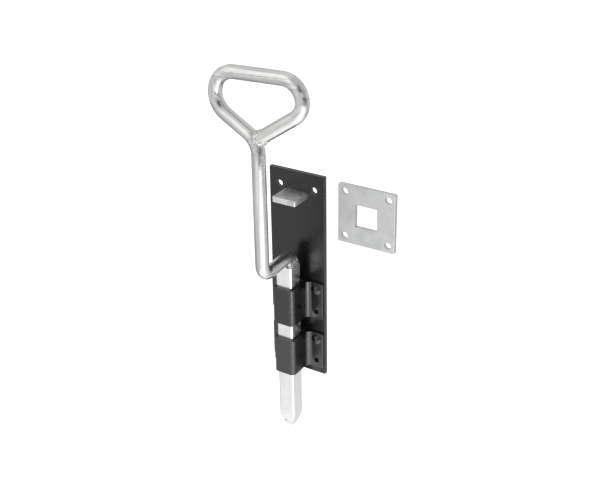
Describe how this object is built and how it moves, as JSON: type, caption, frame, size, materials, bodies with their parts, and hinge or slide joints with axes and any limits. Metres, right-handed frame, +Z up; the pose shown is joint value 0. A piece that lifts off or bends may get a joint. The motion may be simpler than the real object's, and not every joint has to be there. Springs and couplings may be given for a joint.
{
  "type": "spring loaded gate latch",
  "caption": "Heavy drop bolt for a gate: a square bar with a bent rod loop handle slides in strap guides on a black base plate, with a stop ledge above and a separate square strike plate.",
  "frame": {"origin": "middle of the base plate's back face, which lies on the gate", "axes": "+Z up along the bolt, +Y into the gate, so the handle stands out towards -Y and +X is to the right"},
  "size_m": [0.1429, 0.0682, 0.3674],
  "materials": {
    "black_paint": "satin black powder coat on steel",
    "zinc_plate": "bright zinc plate on steel",
    "zinc_weld": "zinc plated weld metal",
    "spring_steel": "dark oiled spring steel"
  },
  "bodies": {
    "base": {"base_plate": "black_paint", "upper_guide": "black_paint", "lower_guide": "black_paint", "guide_rivets": "black_paint", "stop_ledge": "zinc_plate", "upper_spring": "spring_steel", "lower_spring": "spring_steel", "spring_rivets": "spring_steel", "strike_plate": "zinc_plate"},
    "bolt": {"bolt_bar": "zinc_plate", "handle": "zinc_plate", "handle_weld": "zinc_weld", "loop_weld": "zinc_weld"}
  },
  "joints": [
    {"name": "bolt_slide", "type": "slide", "parent": "base", "child": "bolt", "axis": [0, 0, 1], "range_m": [-0.0207, 0.0477]}
  ]
}
